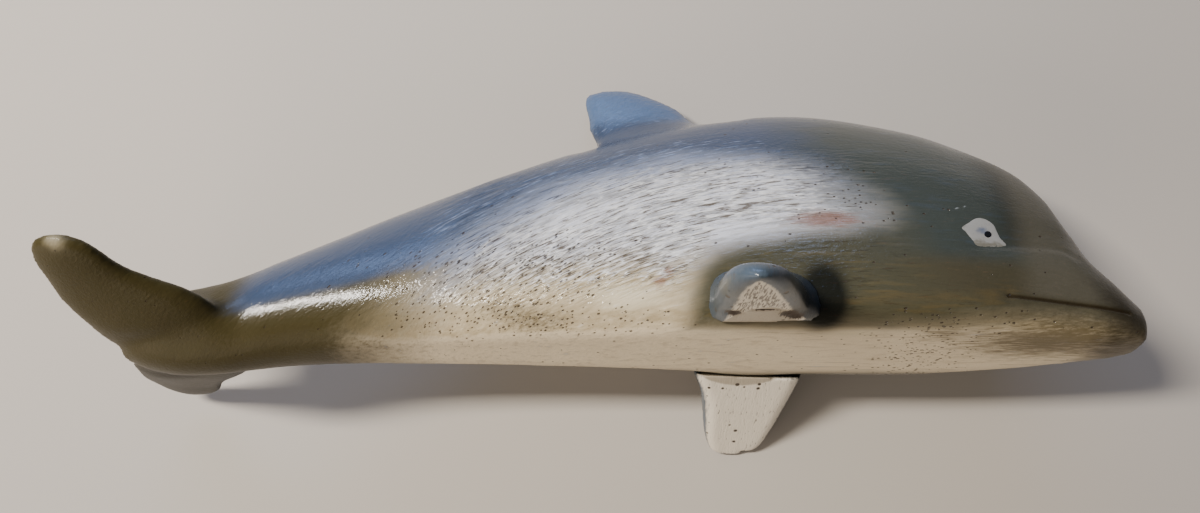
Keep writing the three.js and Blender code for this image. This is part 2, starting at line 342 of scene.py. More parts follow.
def strokeShare(x, z):
    # 1 where the flank is built up with thick strokes, fading out round them
    strokes = body["flankStrokes"]
    share = between(x, *strokes["along"])
    low = strokes["low"] + strokes["raised"] * smoothStep(184, 204, x)  # they stop above the flipper
    share *= smoothStep(0, 12, z - low)
    return share * smoothStep(strokes["high"], strokes["high"] - 14, z)


def nickShare(x, y, z):
    share = np.zeros(len(x))
    for place, height in body["nicks"]:
        off = z - height - body["nickSlant"] * (x - place)
        share += bump(np.hypot((x - place) / body["nickLength"], off), 0, body["nickWidth"])
    return share * (y < 0)


def bodyRelief(points):
    # how far the surface stands out or in, in mm
    x, y, z = points.T
    zone = strokeShare(x, z)
    relief = np.zeros(len(x))
    near = np.flatnonzero((zone > 0.01) & (y < 0))
    spots = (np.column_stack([x, y, strokeHeight(x, z)]) / body["strokeSize"])[near]
    ridge = sampleNoise(spots) + 0.5 * sampleNoise(spots * (1.7, 1, 2.1) + 7)
    relief[near] += body["flankStrokes"]["depth"] * zone[near] * ridge
    marks = np.column_stack([x, y, strokeHeight(x, z)]) / body["toolMarkSize"]
    relief += body["toolMarkDepth"] * sampleNoise(marks)
    mouth = lineDistance(x, z, body["mouth"])
    onFace = smoothStep(*body["mouthFades"], x)
    relief -= body["mouthDepth"] * bump(mouth, 0, body["mouthWidth"]) * onFace
    onHead = between(x, *body["creaseAlong"])
    below = -aboveLine(x, z, body["crease"])
    relief -= body["creaseDepth"] * bump(below, 0, body["creaseWidth"]) * onHead
    relief += body["cheekLip"] * bump(below, body["lipBelow"], body["lipWidth"]) * onHead
    corner = np.hypot(x - body["mouth"][0][0], z - body["mouth"][0][1])
    relief -= body["dimpleDepth"] * bump(corner, 0, body["dimpleWidth"])
    return relief - body["nickDepth"] * nickShare(x, y, z)


# Where the paint changes, as places and heights in the upright frame
paint = {
    # lower edge of the grey of the back and head
    "backEdge": [
        (78.9, -60), (79, -8), (83.5, 2), (89, 9), (97, 19), (109, 26), (117, 33), (123, 38.5), (130, 43.5),
        (142, 51), (155, 56), (169, 59), (190, 63), (204, 63.5), (217, 62.5), (230, 59), (246, 49),
        (255, 43), (263, 34), (267, 23), (272, 13), (280, 9), (294, 8.5), (312, 9.5), (330, 9), (340, 8),
    ],
    # top of the grey that shades the root of the flipper and the cheek
    "cheekTop": [
        (190.9, -60), (191, -20), (192, 0), (193, 8), (195, 15), (200, 20.5), (208, 24), (225, 27),
        (243, 28), (253, 28.6), (262, 32.5), (270, 40), (340, 60),
    ],
    "cheekBottom": [(186, 1), (240, 1), (253, 1.2), (268, 1.6), (284, 3.5), (294, 6), (312, 7.5), (340, 7)],
    # lower edge of the silvery white on the flank
    "whiteEdge": [(100, 10), (115, 12), (131, 16), (162, 17.5), (178, 19), (190, 18.5), (340, 18)],
    "bellyHalf": 19,
    # spots of paint, and of painted shade and shadow: place, side, height, reach along, reach across,
    # strength
    # dirt in the paint, and painted shade under the beak and chin
    "grimeAndShade": [
        (142, -17, 3, 15, 6, 0.8), (127, -19, 8, 11, 4, 0.5), (113, -6, 0, 25, 5, 0.3),
        (268, -15, 0, 9, 6, 0.5), (202, -19, 0, 7, 4, 0.25), (228, -12, 0, 15, 3, 0.25),
        (191, -24, 7, 3, 5, 0.4), (215, -28, 40, 14, 7, 0.35), (89, -7, 0, 6, 4, 0.4),
        # painted shade under the beak and chin
        (307, -9, 1, 33, 15, 1.25),
    ],
    "clean": [(170, -23, 9, 13, 5, 0.8), (240, -14, 0, 10, 3, 0.5), (10.5, -57, 8, 4, 3.5, 0.42)],
    "rubbed": [(233, -30, 33, 11, 3.2, 1.5), (180.5, -24, 13, 2.2, 2.4, 1), (183.5, -25, 16, 2.2, 2.4, 1)],
    # painted shadow that the near flipper casts on the cheek in front of it
    "flipperShadow": [(230.5, -26, 6.5, 7, 11, 1.5)],
    # shares that only rise between two places along the body, to its side or up from the belly
    "zones": {
        "head": {"along": (195, 268)},
        # painted shade on the front of the melon
        "brow": {"along": (280, 303), "up": (18, 30)},
        # the fin's lighter blue is partly its own paint and partly a painted reflection of the window
        "fin": {"up": (84, 97)},
        "lowFace": {"along": (236, 262), "up": (26, 14)},
        "beakTop": {"along": (286, 305), "up": (7.5, 11)},
        "beakTip": {"along": (309, 333)},
        # painted shade on the underside of the far fluke
        "farFlukeShade": {"along": (62, 48), "side": (2, 16), "up": (14, 4)},
    },
    "stockSlope": 0.22,  # the painted olive shade under the tail stock rises this much for each mm along
    # open pores: place, height, reach along, reach up, share of them open
    "poreSpots": [(244, 43, 14, 8, 0.4), (298, 3, 18, 4, 0.3), (174, 4.5, 8, 4, 0.6)],
    "poreShares": (0.012, 0.9),  # least and most
}


def bodyMasks(mesh, points):
    x, y, level = points.T
    # on the flat of the belly the height counts on inwards from its edge, as if it were unrolled
    inwards = np.maximum(paint["bellyHalf"] - np.abs(y), 0)
    z = level - inwards * smoothStep(3, 0, level) * smoothStep(60, 90, x)
    nearSide = np.where(y < 0, 1, 0.35)
    aboveBack = aboveLine(x, z, paint["backEdge"])
    softness = 6 + 4 * smoothStep(190, 95, x) + 3 * smoothStep(20, 0, z) * smoothStep(120, 100, x)
    softness += 4 * bump(x, 246, 16) - 3 * smoothStep(264, 275, x)
    aboveBack = aboveBack / softness
    cheek = np.minimum(-aboveLine(x, z, paint["cheekTop"]), aboveLine(x, z, paint["cheekBottom"]))
    cheek -= 0.8 * bump(x, 210, 20) * smoothStep(12, 20, z)  # thinner over the flipper
    aboveWhite = aboveLine(x, z, paint["whiteEdge"])
    aboveStock = z - paint["stockSlope"] * x
    whiteCover = np.minimum(np.minimum(aboveWhite, (x - 108) / 2.2), (262 - x) / 2.2)
    masks = {
        "onBelly": smoothStep(-15, -23, aboveWhite),
        "whiteCover": whiteCover,
        "whiteStrokes": smoothStep(-3, 8, whiteCover) * smoothStep(265, 215, x),
        # painted reflection of the cool window: a pale blue-white band under the grey of the back
        "windowSheen": smoothStep(-2.6, -0.4, aboveBack) * smoothStep(240, 185, x) * smoothStep(14, 26, z),
        # the strokes thin out where the flank carries the painted reflection of the window
        "strokes": strokeShare(x, z) * nearSide * (1 - 0.4 * bump(x, 140, 24) * smoothStep(26, 38, z)),
        "cheek": cheek,
        "back": aboveBack,
        "inCheek": smoothStep(-1, 3, cheek),
        "speckled": (bump(aboveBack, 0.2, 1.6) + smoothStep(78, 92, z)) * between(x, 90, 112, 205, 240),
        "cheekBand": bump(z - np.interp(x, *zip(*paint["cheekBottom"])), 5, 4)
        * between(x, 226, 246, 286, 302) * smoothStep(-3, 1, cheek),
        # dark paint along the mouth line, with painted shade in its groove
        "mouthLine": bump(lineDistance(x, z, body["mouth"]), -0.2, 1.0) * smoothStep(336, 328, x),
        # the lacquer is worn dull on the flukes, which are handled most, and it was wiped thin underneath
        "lacquer": 0.08 + 0.92 * smoothStep(40, 58, x)
        * np.where(x < 110, smoothStep(-12, -8, aboveStock), 1) * smoothStep(-2, 5, z + 14 * (x < 110))
        * (1 - 0.65 * smoothStep(280, 300, x)),
        "nicked": nickShare(x, y, z),
    }
    axes = {"along": x, "side": y, "up": z}
    for name, rises in paint["zones"].items():
        masks[name] = math.prod(smoothStep(*rise, axes[axis]) for axis, rise in rises.items())
    # painted warm shade: the grey turns olive and darker under the tail stock and on the flukes
    stock = smoothStep(-1, -6.5, aboveStock) * smoothStep(130, 92, x)
    masks["tailOliveShade"] = np.maximum(stock, smoothStep(57, 38, x))
    # spots of dirt, clean cream and rust, and of painted shade and shadow
    for name in ("grimeAndShade", "clean", "rubbed", "flipperShadow"):
        cover = np.zeros(len(x))
        for place, side, height, along, across, strength in paint[name]:
            aside = np.hypot(y - side, level - height)
            cover += strength * bump(np.hypot((x - place) / along, aside / across), 0, 1)
        masks[name] = cover
    pores = 1.1 * bump(x, 140, 34) * between(z, -2, 3, 18, 34) * smoothStep(160, 132, x - z)
    pores += 0.35 * between(x, 95, 110, 165, 195) * between(z, -14, 0, -2, 4)
    pores += 0.85 * bump(x, 266, 14) * smoothStep(5, 0, z)
    for place, height, along, up, share in paint["poreSpots"]:
        pores += share * bump(x, place, along) * bump(z, height, up)
    masks["pores"] = np.clip(pores, *paint["poreShares"])
    for name, values in masks.items():
        addMask(mesh, name, values)


def strokeZone(points):
    x, y, z = points.T
    return (y < -8) & (x > 112) & (x < 258) & (z > 10) & (z < 60)


def faceZone(points):
    x, y, z = points.T
    mouth = lineDistance(x, z, body["mouth"]) < 3
    marks = (x > 262) & (x < 285) & (z > 34) & (z < 42) & (y < -10)
    return mouth | marks


def mouthZone(points):
    x, y, z = points.T
    return lineDistance(x, z, body["mouth"]) < 1.8


def makeBody(material):
    piece = remeshedCopy("dolphin_body", "painted_body", body["voxel"])
    mesh = piece.data
    points = uprightPoints(mesh)
    pairs = edgePairs(mesh)
    points = eased(points, pairs, *body["easeFacets"])
    x, y, z = points.T
    foot = np.interp(x, *zip(*body["finFoot"]))
    finFoot = bump(z, foot, body["finFootWidth"]) * between(x, 150, 156, 208, 218)
    flukeRoot = bump(np.abs(y), body["flukeRootSide"], body["flukeRootWidth"])
    flukeRoot *= between(x, *body["flukeRootAlong"])
    bellyEdge = bump(np.abs(y), 20, 6) * smoothStep(6, 1, z) * between(x, 70, 100, 290, 325)
    bellyEdge *= 1 - bump(x, 211, 18)  # not beside the flippers
    points = eased(points, pairs, *body["easeRoots"], np.clip(flukeRoot + bellyEdge, 0, 1))
    points = eased(points, pairs, *body["easeFoot"], finFoot)
    setUprightPoints(mesh, points)
    for zone in (strokeZone, faceZone, mouthZone):
        refine(mesh, zone)
    points = eased(uprightPoints(mesh), edgePairs(mesh), *body["easeSplits"])
    setUprightPoints(mesh, points)
    normals = uprightNormals(mesh)
    bodyMasks(mesh, points)
    setUprightPoints(mesh, points + normals * bodyRelief(points)[:, None])
    finishPiece(piece, material, "body_paint", "dolphin_body")
    mesh.calc_loop_triangles()
    print("body:", len(mesh.loop_triangles), "triangles")
    return piece


# Lacquered paint on carved lime wood: thin brushed coats over open pores, under a clear gloss coat.
# The eye sees soft sprayed edges between the colours, streaks of bristle, and wet-looking highlights.
bodyPaint = {
    "ground": ("#B5A482", "#D2C2A0"),  # the cream coat where it ran thin, and where it is full
    "groundFades": (0.35, 0.7),
    # each coat over the last: mask, where it fades in from and to, strength, brush mark, looseness, colour
    "under": [
        ("onBelly", 0.0, 1.0, 0.85, "loose", 1.2, "#EADABB"),
        ("onBelly", 1.0, 1.6, 0.4, "streak", 3.2, "#9C8A6C"),
        ("whiteCover", -6.0, 8.0, 1.0, "loose", 18.0, "#B2B1AF"),
        ("whiteStrokes", 0.5, 1.4, 0.9, "streak", 3.5, "#E4E4E6"),
        # painted reflection of the cool window, pale blue-white
        ("windowSheen", 0.25, 1.15, 0.9, "streak", 2.0, "#D2DBF0"),
        ("strokes", 1.05, 1.65, 0.88, "bristle", -6.0, "#5F523F"),  # painted shade in the valleys between the strokes
        ("strokes", 6.65, 7.4, 0.85, "ridge", -13.0, "#F4F2EC"),  # painted highlights on the ridges of the strokes
        # dirt, and painted shade under the beak and chin
        ("grimeAndShade", 0.2, 1.2, 0.9, "bristle", 1.8, "#5E5236"),
        ("cheek", -9.0, 1.0, 0.6, "loose", 6.0, "#66604F"),
        ("cheek", -4.5, 3.0, 0.95, "loose", 7.0, "#444230"),
        ("inCheek", 1.0, 1.7, 0.6, "bristle", 4.5, "#2B291C"),
        ("inCheek", 1.0, 1.7, 0.5, "streak", 4.5, "#5E5437"),
    ],
    "backGrey": "#37445A",
    "back": ("back", -2.9, 0.6, 1.0, "loose", 1.9),
    # colours within the grey of the back and head
    "greys": [
        ("head", 0.1, 0.9, 1.0, "patch", 0.6, "#3D423C"),
        # painted shade on the front of the melon
        ("brow", 0.0, 1.0, 0.9, "patch", 0.4, "#1D201B"),
        ("speckled", 1.0, 1.9, 0.55, "bristle", 4.0, "#8FA4C8"),
        # the fin's own blue, lightened as a painted reflection of the window
        ("fin", 0.0, 1.0, 1.0, "streak", 0.9, "#526887"),
        ("lowFace", 0.0, 1.0, 1.0, "loose", 0.5, "#464130"),
        # painted warm shade on the flukes and under the tail stock
        ("tailOliveShade", 0.0, 1.0, 1.0, "loose", 0.5, "#403920"),
        # painted shade on the far fluke
        ("farFlukeShade", 0.0, 1.0, 0.7, "patch", 0.4, "#1F1A0E"),
    ],
    "over": [
        ("cheekBand", 0.4, 1.6, 0.6, "streak", 2.0, "#5E4F30"),
        ("beakTop", 0.0, 1.0, 0.8, "patch", 0.4, "#5A5547"),
        ("beakTip", 0.1, 1.0, 0.8, "loose", 0.9, "#241E13"),
        ("flipperShadow", 0.1, 0.9, 0.92, "loose", 0.3, "#0E100A"),  # painted shadow that the near flipper casts on the cheek in front of it
        ("clean", 0.1, 0.9, 1.0, "patch", 0.5, "#DFD2B0"),
        ("rubbed", 0.2, 1.2, 0.75, "bristle", 2.0, "#7E4E36"),
        # dark paint along the mouth line, with painted shade in its groove
        ("mouthLine", 0.15, 1.0, 0.8, "bristle", 0.4, "#2A1F10"),
        ("nicked", 0.3, 0.9, 0.6, "bristle", 0.6, "#A5A8A6"),
    ],
    # scale per mm along, through and across the strokes, detail and roughness: bristle streaks are
    # 1 to 2 mm apart and 15 mm long, and patches 30 mm wide show where a coat ran thin
    "marks": {
        "streak": ((0.07, 0.55, 0.62), 4.0, 0.55),
        "bristle": ((0.15, 1.2, 1.45), 3.0, 0.7),
        "ridge": ((0.075, 0.4, 0.7), 2.0, 0.6),
        "patch": ((0.035, 0.07, 0.07), 3.0, 0.55),
        "grit": ((0.55, 0.9, 0.9), 2.0, 0.6),
    },
    "markShade": 0.6,  # how far bristle marks darken and lighten the last coat
    "poreScale": (0.6, 1.05, 1.05),
    "pore": "#3C3023",
    "poreCover": 0.85,
    "poreDepth": 0.7,
    "lacquerIor": 1.45,
    "lacquerRoughness": 0.12,
    "paintGloss": 0.12,  # the matt paint itself, under the lacquer
    "paintRoughness": (0.32, 0.2),  # at least, and how far bristle marks add to it
    # the flank is thick with strokes, the rest was brushed out smoother: mask that thickens a mark,
    # least share of it elsewhere, mark, how far it stands out
    "relief": [
        ("strokes", 0.2, "streak", 0.8),
        ("strokes", 0.15, "bristle", 0.9),
        ("strokes", 0.0, "ridge", -5.0),
        ("speckled", 0.3, "grit", 0.7),
    ],
    "reliefDepth": 0.0005,
}


def carvingCoordinates(tree):
    # object coordinates turned to the upright frame, in millimetres
    place = addNode(tree, "ShaderNodeTexCoord")
    return addNode(tree, "ShaderNodeMapping", {
        "Vector": place.outputs["Object"],
        "Location": lying["origin"],
        "Rotation": layTurn,
        "Scale": (mm, mm, mm),
    }, vector_type="TEXTURE").outputs["Vector"]


def sweptCoordinates(tree, coordinates):
    # the upright coordinates with the height counted across the sweep of the strokes
    axes = addNode(tree, "ShaderNodeSeparateXYZ", {"Vector": coordinates}).outputs
    before = addNode(tree, "ShaderNodeMath", {
        0: body["strokeLevelPlace"], 1: axes["X"],
    }, operation="SUBTRACT")
    held = addNode(tree, "ShaderNodeMath", {0: before.outputs[0], 1: 0.0}, operation="MAXIMUM")
    square = addNode(tree, "ShaderNodeMath", {0: held.outputs[0], 1: 2.0}, operation="POWER")
    across = addNode(tree, "ShaderNodeMath", {
        0: square.outputs[0], 1: body["strokeRise"], 2: axes["Z"],
    }, operation="MULTIPLY_ADD")
    return addNode(tree, "ShaderNodeCombineXYZ", {
        "X": axes["X"], "Y": axes["Y"], "Z": across.outputs[0],
    }).outputs["Vector"]


def brushMarks(tree, coordinates, marks):
    # noise stretched along the strokes, each mark near 0.5 on average
    made = {}
    for name, (scale, detail, roughness) in marks.items():
        sized = addNode(tree, "ShaderNodeVectorMath", {0: coordinates, 1: scale}, operation="MULTIPLY")
        made[name] = addNode(tree, "ShaderNodeTexNoise", {
            "Vector": sized.outputs[0], "Scale": 1.0, "Detail": detail, "Roughness": roughness,
        }).outputs["Fac"]
    return made


def brushCoats(tree, colour, coats, marks):
    # lays each coat over the last, where its mask, loosened by a brush mark, rises from low to high
    for mask, low, high, strength, mark, looseness, coat in coats:
        place = addNode(tree, "ShaderNodeAttribute", attribute_name=mask)
        shift = addNode(tree, "ShaderNodeMath", {
            0: marks[mark], 1: looseness, 2: -looseness / 2,
        }, operation="MULTIPLY_ADD")
        loosened = addNode(tree, "ShaderNodeMath", {
            0: place.outputs["Fac"], 1: shift.outputs[0],
        }, operation="ADD")
        share = addNode(tree, "ShaderNodeMapRange", {
            "Value": loosened.outputs[0], "From Min": low, "From Max": high, "To Max": strength,
        }, interpolation_type="SMOOTHSTEP")
        colour = addNode(tree, "ShaderNodeMix", {
            0: share.outputs["Result"], 6: colour, 7: coat,
        }, data_type="RGBA").outputs[2]
    return colour


def woodPores(tree, coordinates, scale, share):
    # open pores of the wood as the lacquer leaves them, 0.5 to 1 mm long on the body
    sized = addNode(tree, "ShaderNodeVectorMath", {0: coordinates, 1: scale}, operation="MULTIPLY")
    cells = addNode(tree, "ShaderNodeTexVoronoi", {"Vector": sized.outputs[0], "Scale": 1.0})
    pick = addNode(tree, "ShaderNodeSeparateColor", {"Color": cells.outputs["Color"]}).outputs
    kept = addNode(tree, "ShaderNodeMath", {0: pick["Red"], 1: share}, operation="LESS_THAN")
    size = addNode(tree, "ShaderNodeMath", {0: pick["Green"], 1: 0.18, 2: 0.16}, operation="MULTIPLY_ADD")
    reach = addNode(tree, "ShaderNodeMath", {
        0: cells.outputs["Distance"], 1: size.outputs[0],
    }, operation="DIVIDE")
    return addNode(tree, "ShaderNodeMapRange", {
        "Value": reach.outputs[0], "From Min": 1.25, "From Max": 0.7, "To Max": kept.outputs[0],
    }, interpolation_type="SMOOTHSTEP").outputs["Result"]


def startMaterial(name):
    material = bpy.data.materials.new(name)
    material.use_nodes = True
    tree = material.node_tree
    return material, tree, tree.nodes["Principled BSDF"]


def makeBodyPaint():
    material, tree, surface = startMaterial("lacquered hand paint on carved wood")
    swept = sweptCoordinates(tree, carvingCoordinates(tree))
    marks = brushMarks(tree, swept, bodyPaint["marks"])
    middle = addNode(tree, "ShaderNodeMath", {0: marks["ridge"], 1: 0.5}, operation="SUBTRACT")
    marks["ridge"] = addNode(tree, "ShaderNodeMath", {0: middle.outputs[0]}, operation="ABSOLUTE").outputs[0]
    both = addNode(tree, "ShaderNodeMath", {0: marks["patch"], 1: marks["streak"]}, operation="ADD")
    half = addNode(tree, "ShaderNodeMath", {0: both.outputs[0], 1: 0.5}, operation="MULTIPLY")
    marks["loose"] = half.outputs[0]

    low, high = bodyPaint["groundFades"]
    full = addNode(tree, "ShaderNodeMapRange", {"Value": marks["streak"], "From Min": low, "From Max": high})
    thinCream, fullCream = bodyPaint["ground"]
    ground = addNode(tree, "ShaderNodeMix", {
        0: full.outputs["Result"], 6: thinCream, 7: fullCream,
    }, data_type="RGBA").outputs[2]
    colour = brushCoats(tree, ground, bodyPaint["under"], marks)
    greys = brushCoats(tree, bodyPaint["backGrey"], bodyPaint["greys"], marks)
    colour = brushCoats(tree, colour, [(*bodyPaint["back"], greys)], marks)
    colour = brushCoats(tree, colour, bodyPaint["over"], marks)
    shade = addNode(tree, "ShaderNodeMath", {0: marks["bristle"], 1: 0.5, 2: 0.75}, operation="MULTIPLY_ADD")
    colour = addNode(tree, "ShaderNodeMix", {
        0: bodyPaint["markShade"], 6: colour, 7: shade.outputs[0],
    }, data_type="RGBA", blend_type="MULTIPLY").outputs[2]
    poreMask = addNode(tree, "ShaderNodeAttribute", attribute_name="pores").outputs["Fac"]
    pores = woodPores(tree, swept, bodyPaint["poreScale"], poreMask)
    cover = addNode(tree, "ShaderNodeMath", {0: pores, 1: bodyPaint["poreCover"]}, operation="MULTIPLY")
    colour = addNode(tree, "ShaderNodeMix", {
        0: cover.outputs[0], 6: colour, 7: bodyPaint["pore"],
    }, data_type="RGBA").outputs[2]
    tree.links.new(colour, surface.inputs["Base Color"])

    least, added = bodyPaint["paintRoughness"]
    roughness = addNode(tree, "ShaderNodeMath", {
        0: marks["bristle"], 1: added, 2: least,
    }, operation="MULTIPLY_ADD").outputs[0]
    tree.links.new(roughness, surface.inputs["Roughness"])
    surface.inputs["Specular IOR Level"].default_value = bodyPaint["paintGloss"]
    lacquer = addNode(tree, "ShaderNodeAttribute", attribute_name="lacquer").outputs["Fac"]
    tree.links.new(lacquer, surface.inputs["Coat Weight"])
    surface.inputs["Coat IOR"].default_value = bodyPaint["lacquerIor"]
    surface.inputs["Coat Roughness"].default_value = bodyPaint["lacquerRoughness"]

    height = addNode(tree, "ShaderNodeMath", {
        0: pores, 1: -bodyPaint["poreDepth"],
    }, operation="MULTIPLY").outputs[0]
    for mask, least, mark, amount in bodyPaint["relief"]:
        place = addNode(tree, "ShaderNodeAttribute", attribute_name=mask)
        thick = addNode(tree, "ShaderNodeMath", {
            0: place.outputs["Fac"], 1: amount * (1 - least), 2: amount * least,
        }, operation="MULTIPLY_ADD")
        height = addNode(tree, "ShaderNodeMath", {
            0: marks[mark], 1: thick.outputs[0], 2: height,
        }, operation="MULTIPLY_ADD").outputs[0]
    relief = addNode(tree, "ShaderNodeBump", {
        "Height": height, "Strength": 1.0, "Distance": bodyPaint["reliefDepth"],
    }).outputs["Normal"]
    tree.links.new(relief, surface.inputs["Normal"])
    tree.links.new(relief, surface.inputs["Coat Normal"])
    return material


# Flippers. Masks are worked out from the piece's own outline, seen along its drooping span.
flipper = {
    "voxel": 0.55,
    "easeFacets": (14, 0.25),  # rounds of smoothing, and the most a point may move
    "droop": 12,
    "rootSide": 23.4,
    "slices": 39,  # of the span, in each of which the outline is read
    "creamEdge": {"right": (4.5, 5.0), "left": (0.6, 0.6)},  # inset at the trailing and leading edge
    "creamTop": 1.6,
    "fillerReach": {"right": 16, "left": 3},  # filler between underside and belly
    "fillerMiddle": 211,
    "fillerHalf": 11,
    # brown gaps where the filler has shrunk or chipped: place, distance out, length, width
    "gaps": {
        "right": [(201.5, 8.5, 3.6, 4.2), (218, 8, 4.5, 5.5), (221, 4, 3, 3.5), (210, 12.5, 5, 1.3)],
        "left": [(217.5, 49, 2.6, 2.2)],
    },
    "gapDepth": 0.5,
    "endGrain": {"right": 1.0, "left": 0.12},  # how far the dark end grain shows through the cream
    # where the painted shade on the leading side of the flipper fades in, along the body
    "leadingShadeFades": (214, 223),
    "rippleSize": (3, 12, 4),
    "rippleDepth": 0.05,
}


def makeFlipper(side, material):
    sign = 1 if side == "left" else -1
    piece = remeshedCopy(side + "_flipper", "painted_" + side + "_flipper", flipper["voxel"])
    mesh = piece.data
    points = eased(uprightPoints(mesh), edgePairs(mesh), *flipper["easeFacets"])
    droop = math.radians(flipper["droop"])
    x = points[:, 0]
    beyond = sign * points[:, 1] - flipper["rootSide"]
    out = beyond * math.cos(droop) - points[:, 2] * math.sin(droop)
    above = beyond * math.sin(droop) + points[:, 2] * math.cos(droop)
    slices = flipper["slices"]
    steps = np.linspace(out.min(), out.max(), slices + 1)
    band = np.clip(np.searchsorted(steps, out) - 1, 0, slices - 1)
    rear = np.array([x[band == k].min() if (band == k).any() else np.nan for k in range(slices)])
    front = np.array([x[band == k].max() if (band == k).any() else np.nan for k in range(slices)])
    middles = (steps[1:] + steps[:-1]) / 2
    trailing, leading = flipper["creamEdge"][side]
    behind = x - np.interp(out, middles, rear) - trailing
    fromEdge = np.minimum(behind, np.interp(out, middles, front) - leading - x)
    fromTip = out.max() - out - min(trailing, 1.5)
    creamUnder = np.minimum(np.minimum(fromEdge, fromTip), flipper["creamTop"] - above)
    addMask(mesh, "creamUnder", creamUnder)
    bulge = 1 - ((x - flipper["fillerMiddle"]) / flipper["fillerHalf"]) ** 2
    filler = flipper["fillerReach"][side] * bulge - out
    addMask(mesh, "filler", np.minimum(filler, creamUnder + 2))
    gap = np.zeros(len(x))
    for place, reach, length, width in flipper["gaps"][side]:
        gap += bump(np.hypot((x - place) / length, (out - reach) / width), 0, 0.75)
    gap = np.clip(gap, 0, 1) * (above < 1.5)
    addMask(mesh, "gap", gap)
    bare = flipper["endGrain"][side] * smoothStep(0.5, -1, filler) * smoothStep(0, 1.5, creamUnder)
    addMask(mesh, "endGrain", bare)
    # painted shade on the leading side, which faces away from the main light
    addMask(mesh, "leading", smoothStep(*flipper["leadingShadeFades"], x))
    normals = uprightNormals(mesh)
    ripple = flipper["rippleDepth"] * sampleNoise(points / flipper["rippleSize"])
    setUprightPoints(mesh, points + normals * (ripple - flipper["gapDepth"] * gap)[:, None])
    finishPiece(piece, material, "flipper_paint", side + "_flipper")
    print(side, "flipper:", len(mesh.vertices), "points")


# The same paint on the flippers: grey on the dome, cream below with the end grain showing as fine
# dark streaks that run out from the root
flipperPaint = {
    "ground": ("#4D5E74", "#40463F"),
    "coats": [
        # painted shade on the leading side of the flipper
        ("leading", 0.1, 1.0, 0.7, "patch", 0.4, "#1B1F1F"),
        ("creamUnder", -0.5, 0.9, 1.0, "grain", 1.6, "#EBE1CE"),
        ("endGrain", 0.75, 1.35, 0.85, "grain", -5.5, "#4A3A28"),
        ("filler", -0.6, 0.6, 1.0, "grain", 0.6, "#B4A893"),
        ("gap", 0.3, 0.65, 1.0, "grain", 1.2, "#33200F"),
    ],
    # scale per mm along the carving, along the flipper and through it, detail and roughness
    "marks": {
        "grain": ((1.7, 0.22, 0.3), 3.0, 0.6),
        "patch": ((0.12, 0.08, 0.15), 3.0, 0.55),
    },
    "poreScale": (0.4, 0.3, 0.5),
    "poreShare": 0.12,
    "paintRoughness": 0.45,
    "lacquer": 0.7,
    "lacquerRoughness": 0.1,
    "reliefDepth": 0.00015,
}


def makeFlipperPaint():
    material, tree, surface = startMaterial("lacquered hand paint on flippers")
    coordinates = carvingCoordinates(tree)
    marks = brushMarks(tree, coordinates, flipperPaint["marks"])
    blue, olive = flipperPaint["ground"]
    ground = addNode(tree, "ShaderNodeMix", {
        0: marks["patch"], 6: blue, 7: olive,
    }, data_type="RGBA").outputs[2]
    colour = brushCoats(tree, ground, flipperPaint["coats"], marks)
    pores = woodPores(tree, coordinates, flipperPaint["poreScale"], flipperPaint["poreShare"])
    colour = addNode(tree, "ShaderNodeMix", {
        0: pores, 6: colour, 7: bodyPaint["pore"],
    }, data_type="RGBA").outputs[2]
    tree.links.new(colour, surface.inputs["Base Color"])
    surface.inputs["Roughness"].default_value = flipperPaint["paintRoughness"]
    surface.inputs["Specular IOR Level"].default_value = bodyPaint["paintGloss"]
    # no lacquer is left in the gaps
    gap = addNode(tree, "ShaderNodeAttribute", attribute_name="gap").outputs["Fac"]
    lacquer = addNode(tree, "ShaderNodeMath", {
        0: gap, 1: -flipperPaint["lacquer"], 2: flipperPaint["lacquer"],
    }, operation="MULTIPLY_ADD").outputs[0]
    tree.links.new(lacquer, surface.inputs["Coat Weight"])
    surface.inputs["Coat IOR"].default_value = bodyPaint["lacquerIor"]
    surface.inputs["Coat Roughness"].default_value = flipperPaint["lacquerRoughness"]
    uneven = addNode(tree, "ShaderNodeMath", {0: marks["grain"], 1: marks["patch"]}, operation="ADD")
    height = addNode(tree, "ShaderNodeMath", {
        0: pores, 1: -1.0, 2: uneven.outputs[0],
    }, operation="MULTIPLY_ADD").outputs[0]
    relief = addNode(tree, "ShaderNodeBump", {
        "Height": height, "Strength": 1.0, "Distance": flipperPaint["reliefDepth"],
    }).outputs["Normal"]
    tree.links.new(relief, surface.inputs["Normal"])
    tree.links.new(relief, surface.inputs["Coat Normal"])
    return material


# Eyes: a leaf of thick white paint with a black dot on it, standing on the crease under the melon
eye = {
    "outline": [
        (276.2, 30.9), (278.9, 32.9), (281.2, 34.5), (283.3, 35.1), (285.6, 34.6), (287.7, 32.9),
        (288.4, 30.7), (289.3, 28.2), (290.9, 26.2), (287.5, 25.2), (284, 24.9), (280.5, 24.9),
        (278.6, 27.2), (277.2, 29.4),
    ],
    "middle": (283.6, 29.6),
    "pupil": (284.9, 29.2),
    "pupilRadius": 1.4,
    "paintThickness": 0.14,
    "pupilThickness": 0.24,
    "pupilUneven": 0.12,
    "pupilSteps": 32,
    "outlineSteps": 6,  # between two points of the outline
    "rings": 10,
    "edgePower": 6,  # the film is flat and falls away steeply at its outline
    "sunk": 0.03,
    "outside": 60,  # to the side of the body, from where the film is laid on
    "white": "#98968F",
    "whiteRoughness": 0.4,
    "whiteCoat": 0.25,
    "whiteCoatRoughness": 0.15,
    "black": "#14161A",
    "blackRoughness": 0.25,
    "dragged": (283.2, 30.3, 2.6, 1.6),  # place, height, reach along, reach up
    "marks": {"brushed": ((0.35, 0.6, 0.9), 3.0, 0.6)},
    "coats": [
        ("dragged", 0.2, 1.1, 0.85, "brushed", 1.2, "#566073"),
        ("thin", 0.1, 1.1, 0.75, "brushed", 2.6, "#6A6554"),
    ],
}


